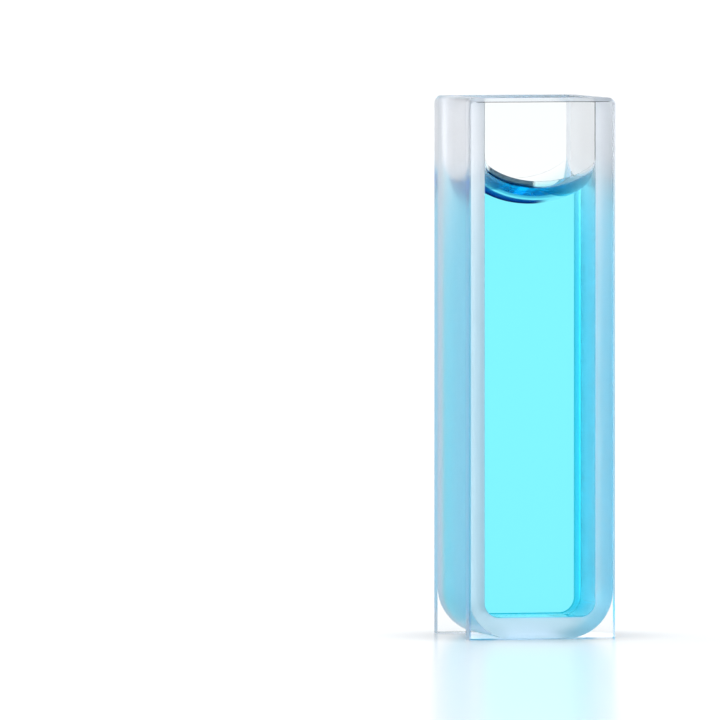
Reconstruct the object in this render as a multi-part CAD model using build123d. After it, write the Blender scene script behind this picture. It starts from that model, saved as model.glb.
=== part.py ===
# Square optical cuvette with a 10 mm light path, standing upright and nearly full of sample.
#
# The cell is four flat-sided pieces. A one-piece ground-glass frame, U-shaped in front view,
# makes the two side walls and the base. A polished window is fused to its front and another to
# its rear. The sample fills the chamber from window to window, under a curved surface.
#
# Millimetres. Origin at the centre of the underside. X runs across the windows, Y along the
# light path with the front window on the -Y side, and Z up.

import os
from math import cosh

from build123d import *

# Cell
cell_width = 12.5  # across the front, windows and frame alike
cell_height = 45.0
light_path = 10.0  # inside, from window to window, and the depth of the frame
window_thickness = 1.25
side_wall = 1.5
base_thickness = 1.75

# Corners and edges
frame_corner_radius = 4.0  # outer lower corners of the frame, behind square window corners
chamber_fillet = 1.3  # where the side walls meet the chamber floor
rim_corner_radius = 0.55  # outer upper corners, seen from the front
rim_bevel = 0.35  # ground along the front and rear of the rim
edge_break = 0.12  # the windows' other outer edges

# Sample
low_point_below_rim = 8.9  # middle of the curved surface
wall_climb = 1.95  # rise from there to the middle of each wall
capillary_length = 2.7  # distance over which the surface levels out

# Working values
chamber_width = cell_width - 2 * side_wall
cell_depth = light_path + 2 * window_thickness
tool_overrun = 1.0  # how far a cutting shape runs past what it cuts
surface_grid = 17  # points each way across the curved surface


def upright_sheet(width, height, foot=0.0):
    # A rectangle in the front view, centred on X, standing on the height called foot.
    return Pos(0, foot + height / 2) * Rectangle(width, height)


def through_depth(sketch, depth):
    # A front-view sketch made solid, centred on the light path.
    return extrude(Plane.XZ * sketch, amount=depth / 2, both=True)


def round_upper_corners(sheet):
    return fillet(sheet.vertices().group_by(Axis.Y)[-1], rim_corner_radius)


def chamber_sketch(top):
    # The chamber in front view, from its floor up to top.
    sheet = upright_sheet(chamber_width, top - base_thickness, foot=base_thickness)
    return fillet(sheet.vertices().group_by(Axis.Y)[0], chamber_fillet)


def frosted_frame():
    # The U: both side walls and the base in one piece, open at the top, front and rear.
    sheet = round_upper_corners(upright_sheet(cell_width, cell_height))
    sheet = fillet(sheet.vertices().group_by(Axis.Y)[0], frame_corner_radius)
    return through_depth(sheet - chamber_sketch(cell_height + tool_overrun), light_path)


def front_window():
    # One plate, given by its front, side and top outlines, whose outer edges are all bevelled.
    inner = -light_path / 2
    outer = inner - window_thickness
    half_width = cell_width / 2
    front_view = through_depth(round_upper_corners(upright_sheet(cell_width, cell_height)), cell_depth)
    side_outline = Polygon(
        (inner, 0),
        (outer + edge_break, 0),
        (outer, edge_break),
        (outer, cell_height - rim_bevel),
        (outer + rim_bevel, cell_height),
        (inner, cell_height),
        align=None,
    )
    side_view = extrude(Plane.YZ * side_outline, amount=half_width, both=True)
    top_outline = Polygon(
        (-half_width, inner),
        (-half_width, outer + edge_break),
        (-half_width + edge_break, outer),
        (half_width - edge_break, outer),
        (half_width, outer + edge_break),
        (half_width, inner),
        align=None,
    )
    top_view = extrude(top_outline, amount=cell_height)
    return front_view & side_view & top_view


def climb(distance, half_span):
    # Height gained by the surface at a distance from the middle, towards a wall at half_span.
    return (cosh(distance / capillary_length) - 1) / (cosh(half_span / capillary_length) - 1)


def space_above_sample():
    # Everything over the curved surface. Its height is one climb across the chamber plus one
    # along the light path, so it stands highest where two walls meet.
    half_x = chamber_width / 2 + tool_overrun
    half_y = light_path / 2 + tool_overrun
    steps = [2 * i / (surface_grid - 1) - 1 for i in range(surface_grid)]
    rows = []
    for v in steps:
        row = []
        for u in steps:
            rise = climb(u * half_x, chamber_width / 2) + climb(v * half_y, light_path / 2)
            height = cell_height - low_point_below_rim + wall_climb * rise
            row.append(Vector(u * half_x, v * half_y, height))
        rows.append(row)
    surface = Face.make_surface_from_array_of_points(rows, tol=0.001)
    return Solid.extrude(surface, Vector(0, 0, cell_height))


def sample_liquid():
    return through_depth(chamber_sketch(cell_height), light_path) - space_above_sample()


front = front_window()
pieces = {
    "frosted_frame": frosted_frame(),
    "front_window": front,
    "rear_window": mirror(front, about=Plane.XZ),
    "sample_liquid": sample_liquid(),
}

os.makedirs("parts", exist_ok=True)
for name, shape in pieces.items():
    export_step(shape, f"parts/{name}.step")
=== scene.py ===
# Optical cuvette: polished windows fused to a ground-glass frame, filled with a cyan sample.

import math

import bpy
import numpy as np
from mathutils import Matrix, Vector


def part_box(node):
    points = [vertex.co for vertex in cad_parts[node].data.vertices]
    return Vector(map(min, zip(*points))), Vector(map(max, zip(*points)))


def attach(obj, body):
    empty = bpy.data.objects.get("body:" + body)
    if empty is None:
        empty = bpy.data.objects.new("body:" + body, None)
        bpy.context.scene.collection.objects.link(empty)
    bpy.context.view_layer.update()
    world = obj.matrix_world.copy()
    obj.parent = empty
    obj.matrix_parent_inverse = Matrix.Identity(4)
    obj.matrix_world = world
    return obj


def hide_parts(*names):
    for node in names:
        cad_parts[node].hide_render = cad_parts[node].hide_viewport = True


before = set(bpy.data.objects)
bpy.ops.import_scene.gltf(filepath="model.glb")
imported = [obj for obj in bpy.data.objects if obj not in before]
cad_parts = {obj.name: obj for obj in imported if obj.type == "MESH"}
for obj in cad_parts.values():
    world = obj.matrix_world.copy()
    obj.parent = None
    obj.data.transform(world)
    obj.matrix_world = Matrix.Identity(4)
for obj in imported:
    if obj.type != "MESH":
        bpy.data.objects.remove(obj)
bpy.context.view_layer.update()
mm = 0.001

frameLow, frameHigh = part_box("frosted_frame")
liquidLow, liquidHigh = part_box("sample_liquid")
halfChamber = liquidHigh.x
halfPath = liquidHigh.y
contactLevel = liquidHigh.z  # where the sample's surface meets the corners of the chamber
weldDistance = 1e-9  # points nearer than this are one point
sharpAngle = math.radians(28)  # edges that turn by more than this aren't smoothed


stageSettings = {
    "viewAngle": 13.9,  # degrees the camera stands round to the left of the front
    "cameraDistance": 1.5,
    "eyeHeight": 0.0795,
    "fieldWidth": 0.060,  # width seen at the cell
    "aimLeft": 0.01372,  # how far left of the cell's middle the camera points
    "aimHeight": 0.0230,
    "floorSize": 12.0,
    "floorColour": (0.90, 0.92, 0.94),
    "floorRoughness": 0.22,
    "floorGlow": 0.13,  # lifts the seen floor to white
    "floorGlowThroughGlass": 0.07,
    "floorGlowUnderCell": 0.35,  # painted glow: the floor under the cell glows for rays seen through the glass, in place of light that comes up through the base
    "glowStart": 0.006,  # the glow fades in round the cell's foot, which keeps its shadow
    "glowFull": 0.014,
    "underEnd": 0.0096,  # where the painted glow under the cell has died away
    "lampPower": 6.0,
    "lampSize": 1.3,
    "lampPlace": (-0.85, 0.95, 0.45),
    "rightLevel": 0.82,  # brightness on the right, where white is 1
    "rightStart": 0.3,  # how far round to the right the white starts to fade
    "rightFull": 0.9,
    "ceilingLevel": 0.7,  # brightness straight overhead, where white is 1
    "ceilingStart": 0.80,  # sine of the elevation at which the white starts to fade
    "ceilingFull": 0.97,
}


def makeMaterial(name):
    material = bpy.data.materials.new(name)
    material.use_nodes = True
    nodes = material.node_tree.nodes
    return material, nodes, material.node_tree.links, nodes["Principled BSDF"]


def addMath(nodes, links, operation, first, second=None):
    # A Math node whose inputs are sockets or plain numbers.
    node = nodes.new("ShaderNodeMath")
    node.operation = operation
    for socket, value in zip(node.inputs, (first, second)):
        if isinstance(value, (int, float)):
            socket.default_value = value
        elif value is not None:
            links.new(value, socket)
    return node.outputs[0]


def addMix(nodes, links, factor, first, second):
    node = nodes.new("ShaderNodeMix")
    node.data_type = "RGBA"
    for socket, value in ((node.inputs["Factor"], factor), (node.inputs[6], first), (node.inputs[7], second)):
        links.new(value, socket)
    return node.outputs[2]


def rampUp(nodes, links, value, start, end, low=0.0, high=1.0):
    # low below start and high above end, eased. Swapped ends make it fall.
    ramp = nodes.new("ShaderNodeMapRange")
    ramp.interpolation_type = "SMOOTHSTEP"
    ramp.inputs["From Min"].default_value = min(start, end)
    ramp.inputs["From Max"].default_value = max(start, end)
    ramp.inputs["To Min"].default_value = low if start < end else high
    ramp.inputs["To Max"].default_value = high if start < end else low
    links.new(value, ramp.inputs["Value"])
    return ramp.outputs["Result"]


def makeCamera(s):
    angle = math.radians(s["viewAngle"])
    ahead = Vector((math.sin(angle), math.cos(angle), 0))
    right = Vector((math.cos(angle), -math.sin(angle), 0))
    eye = -ahead * s["cameraDistance"] + Vector((0, 0, s["eyeHeight"]))
    target = -right * s["aimLeft"] + Vector((0, 0, s["aimHeight"]))
    data = bpy.data.cameras.new("camera")
    data.sensor_width = 36
    data.lens = data.sensor_width * s["cameraDistance"] / s["fieldWidth"]
    data.clip_start = 0.05
    data.clip_end = 100
    camera = bpy.data.objects.new("camera", data)
    camera.location = eye
    camera.rotation_euler = (target - eye).to_track_quat("-Z", "Y").to_euler()
    bpy.context.scene.collection.objects.link(camera)
    bpy.context.scene.camera = camera


def makeFloor(s):
    half = s["floorSize"] / 2
    mesh = bpy.data.meshes.new("floor")
    corners = [(-half, -half, 0), (half, -half, 0), (half, half, 0), (-half, half, 0)]
    mesh.from_pydata(corners, [], [(0, 1, 2, 3)])
    floor = bpy.data.objects.new("floor", mesh)
    bpy.context.scene.collection.objects.link(floor)
    material, nodes, links, shader = makeMaterial("floorPaint")
    shader.inputs["Base Color"].default_value = (*s["floorColour"], 1)
    shader.inputs["Roughness"].default_value = s["floorRoughness"]
    coords = nodes.new("ShaderNodeTexCoord")
    distance = nodes.new("ShaderNodeVectorMath")
    distance.operation = "LENGTH"
    links.new(coords.outputs["Object"], distance.inputs[0])
    clear = rampUp(nodes, links, distance.outputs["Value"], s["glowStart"], s["glowFull"], 0, s["floorGlow"])
    path = nodes.new("ShaderNodeLightPath")
    seen = addMath(nodes, links, "MULTIPLY", path.outputs["Is Camera Ray"], clear)
    # Painted glow: the floor under the cell shines for rays that reach it through the glass.
    under = rampUp(nodes, links, distance.outputs["Value"], s["underEnd"], s["glowStart"])
    under = addMath(nodes, links, "MULTIPLY", under, s["floorGlowUnderCell"])
    through = addMath(nodes, links, "ADD", under, s["floorGlowThroughGlass"])
    through = addMath(nodes, links, "MULTIPLY", path.outputs["Is Transmission Ray"], through)
    glow = addMath(nodes, links, "MAXIMUM", seen, through)
    shader.inputs["Emission Color"].default_value = (1, 1, 1, 1)
    links.new(glow, shader.inputs["Emission Strength"])
    mesh.materials.append(material)
    print("made the floor")


def makeLights(s):
    data = bpy.data.lights.new("softLamp", "AREA")
    data.shape = "DISK"
    data.size = s["lampSize"]
    data.energy = s["lampPower"]
    lamp = bpy.data.objects.new("softLamp", data)
    lamp.location = s["lampPlace"]
    lamp.rotation_euler = (-lamp.location).to_track_quat("-Z", "Y").to_euler()
    bpy.context.scene.collection.objects.link(lamp)
    # A white room, darker towards its ceiling and a little towards the right. The camera sees
    # plain white in every direction.
    world = bpy.data.worlds.new("studio")
    bpy.context.scene.world = world
    world.use_nodes = True
    nodes, links = world.node_tree.nodes, world.node_tree.links
    coords = nodes.new("ShaderNodeTexCoord")
    split = nodes.new("ShaderNodeSeparateXYZ")
    links.new(coords.outputs["Generated"], split.inputs[0])
    path = nodes.new("ShaderNodeLightPath")
    across, up = split.outputs["X"], split.outputs["Z"]
    above = rampUp(nodes, links, up, s["ceilingStart"], s["ceilingFull"], 1, s["ceilingLevel"])
    side = rampUp(nodes, links, across, s["rightStart"], s["rightFull"], 1, s["rightLevel"])
    level = addMath(nodes, links, "MULTIPLY", above, side)
    level = addMath(nodes, links, "MAXIMUM", level, path.outputs["Is Camera Ray"])
    links.new(level, nodes["Background"].inputs["Color"])
    print("made the lamp and the white room")


def wovenSides(shape, samples):
    # The six sides of a box of parameters, each a grid of two of them, carried into place by
    # shape. Returns points, quads and the number of the side that each quad is on.
    points, quads, sides = [], [], []
    start = 0
    for axis in range(3):
        first, second = (axis + 1) % 3, (axis + 2) % 3
        for end in (0, -1):
            grid = [None, None, None]
            grid[first], grid[second] = np.meshgrid(samples[first], samples[second], indexing="ij")
            grid[axis] = np.full(grid[first].shape, samples[axis][end])
            place = np.stack(shape(*grid), axis=-1)
            index = start + np.arange(place.shape[0] * place.shape[1]).reshape(place.shape[:2])
            ring = [index[:-1, :-1], index[1:, :-1], index[1:, 1:], index[:-1, 1:]]
            if end == 0:
                ring = ring[::-1]
            quad = np.stack(ring, axis=-1).reshape(-1, 4)
            points.append(place.reshape(-1, 3))
            quads.append(quad)
            sides.append(np.full(len(quad), 2 * axis + (end == -1)))
            start += index.size
    return np.concatenate(points), np.concatenate(quads), np.concatenate(sides)


def makeSolid(name, shape, samples, materials, finishOf, node):
    points, quads, sides = wovenSides(shape, samples)
    rounded = np.round(points / weldDistance).astype(np.int64)
    _, keep, new = np.unique(rounded, axis=0, return_index=True, return_inverse=True)
    points, quads = points[keep], new.reshape(-1)[quads]
    corner = points[quads]
    volume = np.einsum("ij,ij->i", corner[:, 0], np.cross(corner[:, 1], corner[:, 2])).sum()
    volume += np.einsum("ij,ij->i", corner[:, 0], np.cross(corner[:, 2], corner[:, 3])).sum()
    if volume < 0:
        quads = quads[:, ::-1]
    mesh = bpy.data.meshes.new(name)
    mesh.from_pydata(points.tolist(), [], quads.tolist())
    for material in materials:
        mesh.materials.append(material)
    mesh.polygons.foreach_set("material_index", finishOf(sides, corner.mean(axis=1)).astype(np.int32))
    mesh.polygons.foreach_set("use_smooth", np.ones(len(quads), bool))
    mesh.set_sharp_from_angle(angle=sharpAngle)
    mesh.update()
    piece = bpy.data.objects.new(name, mesh)
    bpy.context.scene.collection.objects.link(piece)
    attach(piece, "root")
    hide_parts(node)
    print("made", name, len(points), "points", len(quads), "quads")
    return piece


def easedSteps(count):
    # From -1 to 1, closer together towards both ends.
    return -np.cos(np.linspace(0, math.pi, count))


sampleSettings = {
    "wallClimb": 1.55 * mm,
    "filmClimb": 0.40 * mm,  # the last steep rise at the wall
    "filmReach": 0.10 * mm,
    "capillaryLength": 2.7 * mm,
    "floorFillet": 1.3 * mm,
    "bodySteps": 97,
    "heightSteps": 25,
    "skinSteps": 129,
    "skin": 0.02 * mm,  # thickness of the surface layer that bends light
    "wetting": 0.010 * mm,  # how far the liquid reaches into the glass, so that no film of air is left
    "colour": (0.0, 0.92, 0.998),
    "density": 152.0,
    "reflection": 0.15,  # share of the plain reflection, for a sample lit from behind
    "index": 1.333,
    "paintedHollowShade": (0.12, 0.60, 0.79),  # colour of painted shade laid on the hollow of the surface, in place of the light it turns back
    "hollowHalf": 2.75 * mm,  # the hollow reaches this far each way from the middle
    "hollowEnd": 1.4 * mm,  # and fades out towards the right
    "hollowEdge": 0.25 * mm,
    "paintedClimbShade": 0.45,  # share of the same painted shade on the climb towards the front window
    "climbEnd": 3.5 * mm,  # it pales towards the right as well
    "climbEdge": 0.3 * mm,
    "lineHalf": 2.95 * mm,  # a clear line parts the two
    "paintedFilmColour": (0.012, 0.03, 0.05),  # painted dark shade on the left part of the steep rise at the front window
    "filmWidth": 0.42 * mm,
    "filmEdge": 0.084 * mm,
    "filmStart": -4.6 * mm,  # it fades in from here
    "filmFull": -4.25 * mm,
    "filmEnd": -0.5 * mm,  # and is cut off here
    "filmCut": 0.2 * mm,
    "lineWidth": 0.16 * mm,  # the clear line under it
    "lineEdge": 0.06 * mm,
}
lowPoint = contactLevel - 2 * (sampleSettings["wallClimb"] + sampleSettings["filmClimb"])


def surfaceHeight(x, y):
    # One climb towards the side walls plus one towards the windows. Each is a hyperbolic cosine
    # with an exponential rise close to the wall.
    scale, film = sampleSettings["capillaryLength"], sampleSettings["filmReach"]
    height = lowPoint
    for distance, half in ((x, halfChamber), (y, halfPath)):
        rise = (np.cosh(distance / scale) - 1) / (math.cosh(half / scale) - 1)
        height = height + sampleSettings["wallClimb"] * rise
        height = height + sampleSettings["filmClimb"] * np.exp(np.minimum(np.abs(distance) - half, 0) / film)
    return height


def floorHeight(x, half, level, fillet):
    # Flat in the middle, a quarter circle up to the walls at each side.
    reach = np.clip(np.abs(x) - (half - fillet), 0, fillet)
    return level + fillet - np.sqrt(np.maximum(fillet**2 - reach**2, 0))


def makePaintedSurfaceShade(s):
    # Painted shade on the sample's surface, in place of the dark bands that its bent surface shows: how
    # strongly a coat darkens what the surface turns back, fully in the hollow, less on the front climb, and
    # not at all on the line between them. Colour is that of the light it lets through, painted dark on the
    # film at the front window.
    group = bpy.data.node_groups.new("paintedSurfaceShade", "ShaderNodeTree")
    group.interface.new_socket("Clear", in_out="INPUT", socket_type="NodeSocketColor")
    group.interface.new_socket("Film", in_out="INPUT", socket_type="NodeSocketColor")
    group.interface.new_socket("Weight", in_out="OUTPUT", socket_type="NodeSocketFloat")
    group.interface.new_socket("Colour", in_out="OUTPUT", socket_type="NodeSocketColor")
    nodes, links = group.nodes, group.links
    source, result = nodes.new("NodeGroupInput"), nodes.new("NodeGroupOutput")
    coords = nodes.new("ShaderNodeTexCoord")
    split = nodes.new("ShaderNodeSeparateXYZ")
    links.new(coords.outputs["Object"], split.inputs[0])
    x, y = split.outputs["X"], split.outputs["Y"]

    # Painted shade in the hollow of the surface, fading out towards the right.
    off = addMath(nodes, links, "ABSOLUTE", y)
    hollow = rampUp(nodes, links, off, s["hollowHalf"], s["hollowHalf"] - s["hollowEdge"])
    hollow = addMath(nodes, links, "MULTIPLY", hollow, rampUp(nodes, links, x, s["hollowEnd"], 0))

    # Painted shade on the front climb, paler towards the right and left out next to the front window.
    climb = rampUp(nodes, links, y, -s["lineHalf"], -s["lineHalf"] - s["climbEdge"])
    climb = addMath(nodes, links, "MULTIPLY", climb, s["paintedClimbShade"])
    climb = addMath(nodes, links, "MULTIPLY", climb, rampUp(nodes, links, x, s["climbEnd"], 0))
    line = s["filmWidth"] + s["lineWidth"] - halfPath
    beyond = rampUp(nodes, links, y, line, line + s["lineEdge"])
    climb = addMath(nodes, links, "MULTIPLY", climb, beyond)

    # Painted shade: dark colour on the left part of the steep rise at the front window.
    foot = s["filmWidth"] - halfPath
    film = rampUp(nodes, links, y, foot, foot - s["filmEdge"])
    left = rampUp(nodes, links, x, s["filmEnd"] + s["filmCut"], s["filmEnd"] - s["filmCut"])
    corner = rampUp(nodes, links, x, s["filmStart"], s["filmFull"])
    film = addMath(nodes, links, "MULTIPLY", film, addMath(nodes, links, "MULTIPLY", left, corner))
    links.new(addMix(nodes, links, film, source.outputs["Clear"], source.outputs["Film"]),
              result.inputs["Colour"])
    links.new(addMath(nodes, links, "ADD", hollow, climb), result.inputs["Weight"])
    return group


def makeLiquid(name, s, index):
    # index bends the light: 1 lets it straight through
    material, nodes, links, shader = makeMaterial(name)
    shader.inputs["Base Color"].default_value = (1, 1, 1, 1)
    shader.inputs["Roughness"].default_value = 0
    shader.inputs["IOR"].default_value = index
    shader.inputs["Transmission Weight"].default_value = 1
    shader.inputs["Specular Tint"].default_value = (s["reflection"],) * 3 + (1,)
    return material, nodes, links, shader


def makeSample(s):
    half = halfChamber + s["wetting"]
    depth = halfPath + s["wetting"]
    level = liquidLow.z - s["wetting"]
    fillet = s["floorFillet"] + s["wetting"]

    def body(u, v, w):
        # A column over each point of the chamber's floor, w of the way from it to the surface.
        x, y = half * u, depth * v
        bottom = floorHeight(x, half, level, fillet)
        return x, y, bottom + (surfaceHeight(x, y) - s["skin"] / 2 - bottom) * w

    def skin(u, v, w):
        # The surface itself at w = 1 and the same sheet a skin's thickness lower at w = 0.
        x, y = half * u, depth * v
        return x, y, surfaceHeight(x, y) - s["skin"] * (1 - w)

    # The body takes up light but doesn't bend it: the glass that it wets bends light by the
    # ratio of the two, and the skin on top bends it on the way to the air.
    bodyPaint, nodes, links, shader = makeLiquid("cyanSample", s, 1)
    volume = nodes.new("ShaderNodeVolumeAbsorption")
    volume.inputs["Color"].default_value = (*s["colour"], 1)
    volume.inputs["Density"].default_value = s["density"]
    links.new(volume.outputs["Volume"], nodes["Material Output"].inputs["Volume"])
    samples = (easedSteps(s["bodySteps"]), easedSteps(s["bodySteps"]), np.linspace(0, 1, s["heightSteps"]))
    makeSolid("sample", body, samples, [bodyPaint], lambda side, centre: side * 0, "sample_liquid")
    underside = makeLiquid("sampleUnderside", s, 1)[0]
    top, nodes, links, shader = makeLiquid("sampleSurface", s, s["index"])
    shade = nodes.new("ShaderNodeGroup")
    shade.node_tree = makePaintedSurfaceShade(s)
    shader.inputs["Coat IOR"].default_value = 1.0
    shader.inputs["Coat Roughness"].default_value = 0
    # Painted shade: the coat darkens the hollow and the front climb to deep blue.
    shader.inputs["Coat Tint"].default_value = (*s["paintedHollowShade"], 1)
    shade.inputs["Clear"].default_value = (1, 1, 1, 1)
    shade.inputs["Film"].default_value = (*s["paintedFilmColour"], 1)
    links.new(shade.outputs["Weight"], shader.inputs["Coat Weight"])
    # Painted shade: the base colour turns dark on the film at the front window.
    links.new(shade.outputs["Colour"], shader.inputs["Base Color"])
    samples = (easedSteps(s["skinSteps"]), easedSteps(s["skinSteps"]), np.array([0.0, 1.0]))
    makeSolid("sampleSurface", skin, samples, [underside, top], lambda side, centre: side == 5,
              "sample_liquid")


glassSettings = {
    "ior": 1.46,
    "reflection": 0.15,
    "cornerRadius": 4.0 * mm,
    "rimRadius": 0.55 * mm,
    "rimBevel": 0.35 * mm,
    "edgeBreak": 0.12 * mm,
    "frontSeam": 0.42 * mm,  # width of the fused seams, seen on the chamber's walls as dark lines of painted shade
    "rearSeam": 0.60 * mm,
    "fusion": 0.014 * mm,  # how far the frame reaches into the windows it is fused to
    "sampleLightFade": 7 * mm,  # depth below the contact line at which most of the painted sample light is reached
    "rearStart": 0.4,  # share of the half depth behind which glass has the whole of its painted rear light
}
# Each finish: its colour above the sample, its colour beside it at the front and the rear (painted light and
# shade of the sample), how fast the one turns into the other, its roughness and its grain. A wetted face
# touches the sample.
finishes = {
    "groundGlass": {"dry": (0.90, 0.92, 0.97), "wet": (0.66, 0.79, 0.93), "wetRear": (0.80, 0.84, 0.93),
                    "roughness": 0.50, "grain": 0.5, "transmission": 0.92},
    "fusedFace": {"dry": (0.88, 0.92, 0.98), "wet": (0.58, 0.82, 0.95), "roughness": 0.36, "grain": 0.4},
    "dryChamber": {"dry": (0.985, 0.995, 1.0)},
    "wetChamber": {"dry": (0.93, 0.97, 1.0), "wet": (0.38, 0.74, 0.96), "wetRear": (0.0, 0.60, 0.92),
                   "fade": 2.5 * mm, "wetted": True},
    # The seams' dark colours are painted shade, in place of light turned away at the fused seams; below the
    # contact line they take the sample's painted cyan as well.
    "drySeamShade": {"dry": (0.09, 0.11, 0.13), "roughness": 0.1, "transmission": 0.5},
    "wetSeamShade": {"dry": (0.75, 0.90, 0.97), "wet": (0.0, 0.45, 0.60), "fade": 2.5 * mm,
                "roughness": 0.1, "wetted": True},
    "groundEdge": {"dry": (0.88, 0.91, 0.96), "wet": (0.72, 0.85, 0.95), "roughness": 0.30, "grain": 0.2},
    "window": {"dry": (0.99, 1.0, 1.0)},
    "wetWindow": {"dry": (1.0, 1.0, 1.0), "wetted": True},
}
grainSettings = {
    "gritScale": 9000,
    "gritDetail": 2,
    "gritShade": 0.3,
    "patchScale": 900,
    "patchDetail": 3,
    "patchRoughness": 0.25,
}


def makePaintedSampleLight(s):
    # Painted light on glass that stands beside the sample: its own dry colour above the contact line, and
    # more and more like the wet colour below it, the painted cyan light and shade of the sample, which goes
    # from front to rear.
    group = bpy.data.node_groups.new("paintedSampleLight", "ShaderNodeTree")
    for name, kind in (("Dry", "NodeSocketColor"), ("Wet Front", "NodeSocketColor"),
                       ("Wet Rear", "NodeSocketColor"), ("Level", "NodeSocketFloat"),
                       ("Fade", "NodeSocketFloat")):
        group.interface.new_socket(name, in_out="INPUT", socket_type=kind)
    group.interface.new_socket("Colour", in_out="OUTPUT", socket_type="NodeSocketColor")
    nodes, links = group.nodes, group.links
    source, result = nodes.new("NodeGroupInput"), nodes.new("NodeGroupOutput")
    coords = nodes.new("ShaderNodeTexCoord")
    split = nodes.new("ShaderNodeSeparateXYZ")
    links.new(coords.outputs["Object"], split.inputs[0])
    depth = addMath(nodes, links, "SUBTRACT", source.outputs["Level"], split.outputs["Z"])
    depth = addMath(nodes, links, "MAXIMUM", depth, 0.0)
    depth = addMath(nodes, links, "DIVIDE", depth, source.outputs["Fade"])
    depth = addMath(nodes, links, "MULTIPLY", depth, -1.0)
    left = addMath(nodes, links, "EXPONENT", depth)
    back = rampUp(nodes, links, split.outputs["Y"], -halfPath, s["rearStart"] * halfPath)
    wet = addMix(nodes, links, back, source.outputs["Wet Front"], source.outputs["Wet Rear"])
    links.new(addMix(nodes, links, left, wet, source.outputs["Dry"]), result.inputs["Colour"])
    return group


def makeGrain(s):
    # Ground surface: fine grit in the shade and slow patches in the roughness.
    group = bpy.data.node_groups.new("grain", "ShaderNodeTree")
    for name in ("Roughness", "Amount"):
        group.interface.new_socket(name, in_out="INPUT", socket_type="NodeSocketFloat")
    group.interface.new_socket("Colour", in_out="INPUT", socket_type="NodeSocketColor")
    group.interface.new_socket("Roughness", in_out="OUTPUT", socket_type="NodeSocketFloat")
    group.interface.new_socket("Colour", in_out="OUTPUT", socket_type="NodeSocketColor")
    nodes, links = group.nodes, group.links
    source, result = nodes.new("NodeGroupInput"), nodes.new("NodeGroupOutput")
    coords = nodes.new("ShaderNodeTexCoord")
    grit = nodes.new("ShaderNodeTexNoise")
    grit.inputs["Scale"].default_value = s["gritScale"]
    grit.inputs["Detail"].default_value = s["gritDetail"]
    patches = nodes.new("ShaderNodeTexNoise")
    patches.inputs["Scale"].default_value = s["patchScale"]
    patches.inputs["Detail"].default_value = s["patchDetail"]
    for noise in (grit, patches):
        links.new(coords.outputs["Object"], noise.inputs["Vector"])
    shift = addMath(nodes, links, "SUBTRACT", patches.outputs["Fac"], 0.5)
    shift = addMath(nodes, links, "MULTIPLY", shift, source.outputs["Amount"])
    shift = addMath(nodes, links, "MULTIPLY", shift, s["patchRoughness"])
    links.new(addMath(nodes, links, "ADD", source.outputs["Roughness"], shift), result.inputs["Roughness"])
    shade = addMath(nodes, links, "SUBTRACT", grit.outputs["Fac"], 0.5)
    shade = addMath(nodes, links, "MULTIPLY", shade, s["gritShade"])
    shade = addMath(nodes, links, "MULTIPLY", shade, source.outputs["Amount"])
    scaled = nodes.new("ShaderNodeVectorMath")
    scaled.operation = "SCALE"
    links.new(source.outputs["Colour"], scaled.inputs[0])
    links.new(addMath(nodes, links, "ADD", shade, 1.0), scaled.inputs["Scale"])
    links.new(scaled.outputs["Vector"], result.inputs["Colour"])
    return group


paintedSampleLight = makePaintedSampleLight(glassSettings)
grain = makeGrain(grainSettings)


def makeGlass(name):
    finish = finishes[name]
    against = sampleSettings["index"] if finish.get("wetted") else 1.0
    roughness, amount = finish.get("roughness", 0.0), finish.get("grain", 0.0)
    material, nodes, links, shader = makeMaterial(name)
    shader.inputs["IOR"].default_value = glassSettings["ior"] / against
    shader.inputs["Transmission Weight"].default_value = finish.get("transmission", 1)
    shader.inputs["Specular Tint"].default_value = (glassSettings["reflection"],) * 3 + (1,)
    shader.inputs["Base Color"].default_value = (*finish["dry"], 1)
    shader.inputs["Roughness"].default_value = roughness
    if "wet" in finish:
        # Painted light: below the contact line the colour turns to the cyan light and shade of the sample.
        paintedLight = nodes.new("ShaderNodeGroup")
        paintedLight.node_tree = paintedSampleLight
        paintedLight.inputs["Dry"].default_value = (*finish["dry"], 1)
        paintedLight.inputs["Wet Front"].default_value = (*finish["wet"], 1)
        paintedLight.inputs["Wet Rear"].default_value = (*finish.get("wetRear", finish["wet"]), 1)
        paintedLight.inputs["Level"].default_value = contactLevel
        paintedLight.inputs["Fade"].default_value = finish.get("fade", glassSettings["sampleLightFade"])
        links.new(paintedLight.outputs["Colour"], shader.inputs["Base Color"])
    if amount:
        ground = nodes.new("ShaderNodeGroup")
        ground.node_tree = grain
        ground.inputs["Roughness"].default_value = roughness
        ground.inputs["Amount"].default_value = amount
        links.new(ground.outputs["Roughness"], shader.inputs["Roughness"])
        links.new(paintedLight.outputs["Colour"], ground.inputs["Colour"])
        links.new(ground.outputs["Colour"], shader.inputs["Base Color"])
    return material


def arc(cx, cz, radius, start, end, count):
    # Points on a circle in the front view, from one angle to the other in degrees.
    angle = np.radians(np.linspace(start, end, count))
    return np.stack((cx + radius * np.cos(angle), cz + radius * np.sin(angle)), axis=-1)


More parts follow.
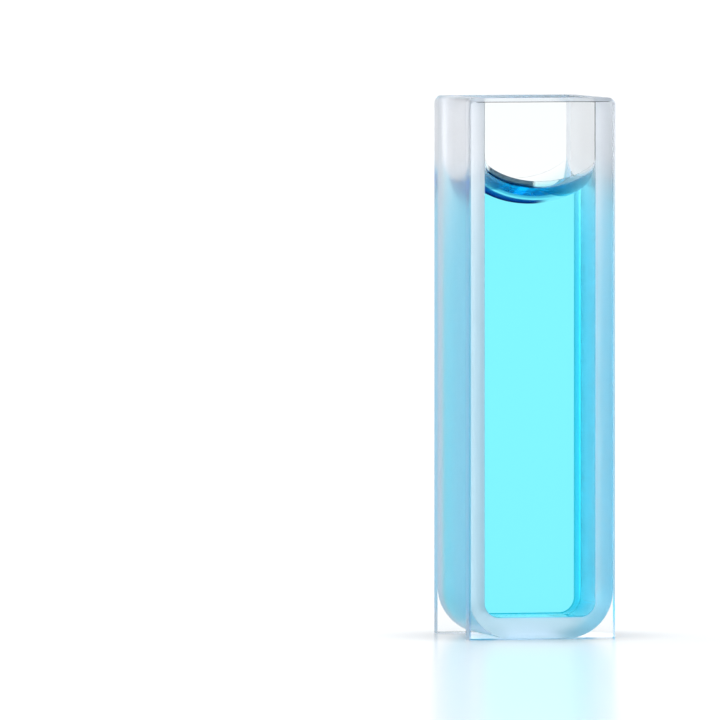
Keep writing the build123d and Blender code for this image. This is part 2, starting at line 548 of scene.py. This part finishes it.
def makeFrame(s):
    # Wall thickness runs from the outer line to the chamber line, both walked from the left rim
    # down, along the base and up to the right rim.
    half, low, top = frameHigh.x, frameLow.z, frameHigh.z
    radius, rim = s["cornerRadius"], s["rimRadius"]
    inner, fillet, level = halfChamber, sampleSettings["floorFillet"], liquidLow.z
    wall, turn, flat = 40, 33, 7  # points down the wall, round the corner and along the base
    rimTurn = 9
    outerLeft = np.concatenate((
        arc(-half + rim, top - rim, rim, 90, 180, rimTurn),
        np.stack((np.full(wall, -half), np.linspace(top - rim, low + radius, wall + 1)[1:]), axis=-1),
        arc(-half + radius, low + radius, radius, 180, 270, turn)[1:],
        np.stack((np.linspace(-half + radius, 0, flat)[1:], np.full(flat - 1, low)), axis=-1),
    ))
    straight = len(outerLeft) - turn - flat + 1
    innerLeft = np.concatenate((
        np.stack((np.full(straight, -inner), np.linspace(top, level + fillet, straight)), axis=-1),
        arc(-inner + fillet, level + fillet, fillet, 180, 270, turn + 1)[1:],
        np.stack((np.linspace(-inner + fillet, 0, flat)[1:], np.full(flat - 1, level)), axis=-1),
    ))
    outer = np.concatenate((outerLeft, (outerLeft * (-1, 1))[::-1][1:]))
    chamber = np.concatenate((innerLeft, (innerLeft * (-1, 1))[::-1][1:]))
    steps = np.arange(len(outer))
    depth = frameHigh.y + s["fusion"]
    frontSeam, rearSeam = 1 - s["frontSeam"] / depth, 1 - s["rearSeam"] / depth
    flush = frameHigh.y / depth
    across = np.concatenate(([-1, -flush], np.linspace(-frontSeam, rearSeam, 21), [flush, 1]))

    foot = level + fillet
    row = innerLeft[np.abs(innerLeft[:, 1] - surfaceHeight(inner, 0)).argmin(), 1]

    def shape(u, v, w):
        # The rows of the chamber line slide along the wall until one follows the contact line.
        # The ends, inside the windows, are a little smaller than the rest.
        along = np.round(u).astype(int)
        x, z = chamber[along][..., 0], chamber[along][..., 1]
        contact = surfaceHeight(inner, depth * v)
        above = top - (top - z) * (top - contact) / (top - row)
        below = foot + (z - foot) * (contact - foot) / (row - foot)
        z = np.where(z >= row, above, np.where(z > foot, below, z))
        start = outer[along]
        x = start[..., 0] + (x - start[..., 0]) * w
        z = start[..., 1] + (z - start[..., 1]) * w
        size = np.where(np.abs(v) > flush, 1 - s["fusion"] / half, 1)
        return x * size, depth * v, top / 2 + (z - top / 2) * size

    materials = [makeGlass("groundGlass"), makeGlass("fusedFace"), makeGlass("dryChamber"),
                 makeGlass("wetChamber"), makeGlass("drySeamShade"), makeGlass("wetSeamShade")]

    def finishOf(side, centre):
        # sides 0 and 1 are the rims, 2 and 3 the fused faces, 4 the outside and 5 the chamber
        atFront = centre[:, 1] < -depth * frontSeam
        atRear = centre[:, 1] > depth * rearSeam
        wet = centre[:, 2] < surfaceHeight(inner, centre[:, 1])
        # Seam strips at the front above the sample and at the rear beside it carry painted shade.
        chamber = np.select([wet & atRear, wet, atFront], [5, 3, 4], 2)
        return np.select([(side == 2) | (side == 3), side == 5], [1, chamber], 0)

    makeSolid("groundFrame", shape, (steps.astype(float), across, np.linspace(0, 1, 5)),
              materials, finishOf, "frosted_frame")


def makeWindow(s, name, node, sign, materials):
    lowCorner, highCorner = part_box(node)
    half, low, high = highCorner.x, lowCorner.z, highCorner.z
    thickness = highCorner.y - lowCorner.y
    innerY = min(abs(lowCorner.y), abs(highCorner.y))
    rim, rimBevel, edgeBreak = s["rimRadius"], s["rimBevel"], s["edgeBreak"]
    across = np.concatenate(([-1], easedSteps(41) * halfChamber / half, [1]))
    heights = np.concatenate(([0], np.linspace(1, 2, 13), np.linspace(2, 3, 5)[1:], np.linspace(3, 4, 9)[1:]))

    def shape(u, v, w):
        # v counts the rows: bottom edge 0, chamber floor 1, contact line 2, foot of the upper
        # corner's round 3 and top edge 4
        inside = np.clip(half * u, -halfChamber, halfChamber)
        floor = floorHeight(inside, halfChamber, liquidLow.z, sampleSettings["floorFillet"])
        contact = surfaceHeight(inside, halfPath)
        turn = np.clip(v - 3, 0, 1) * math.pi / 2
        z = low + (floor - low) * np.clip(v, 0, 1) + (contact - floor) * np.clip(v - 1, 0, 1)
        z = z + (high - rim - contact) * np.clip(v - 2, 0, 1) + rim * np.sin(turn)
        width = half - rim * (1 - np.cos(turn))
        inset = np.where(w > 1, 1.0, 0.0)
        width = width - inset * edgeBreak
        z = z - inset * rimBevel * np.clip(v - 3, 0, 1) + inset * edgeBreak * (v == 0)
        bevel = np.where(v > 3, rimBevel * np.sin(turn) + edgeBreak * np.cos(turn), edgeBreak)
        out = np.where(w == 0, 0.0, thickness - np.where(w > 1, 0.0, bevel))
        return width * u, sign * (innerY + out), z

    def finishOf(side, centre):
        # sides 4 and 5 are the inner and outer faces, the rest are edges
        x, z = centre[:, 0], centre[:, 2]
        floor = floorHeight(x, halfChamber, liquidLow.z, sampleSettings["floorFillet"])
        wet = (np.abs(x) < halfChamber) & (z > floor) & (z < surfaceHeight(x, halfPath))
        return np.select([(side == 4) & wet, side >= 4], [2, 0], 1)

    makeSolid(name, shape, (across, heights, np.array([0.0, 1.0, 2.0])), materials, finishOf, node)


scene = bpy.context.scene
scene.view_settings.view_transform = "Standard"
scene.cycles.max_bounces = 64
scene.cycles.transmission_bounces = 64
scene.cycles.glossy_bounces = 64
scene.cycles.diffuse_bounces = 12
makeCamera(stageSettings)
makeFloor(stageSettings)
makeLights(stageSettings)
makeSample(sampleSettings)
makeFrame(glassSettings)
windowMaterials = [makeGlass(name) for name in ("window", "groundEdge", "wetWindow")]
makeWindow(glassSettings, "frontWindow", "front_window", -1, windowMaterials)
makeWindow(glassSettings, "rearWindow", "rear_window", 1, windowMaterials)
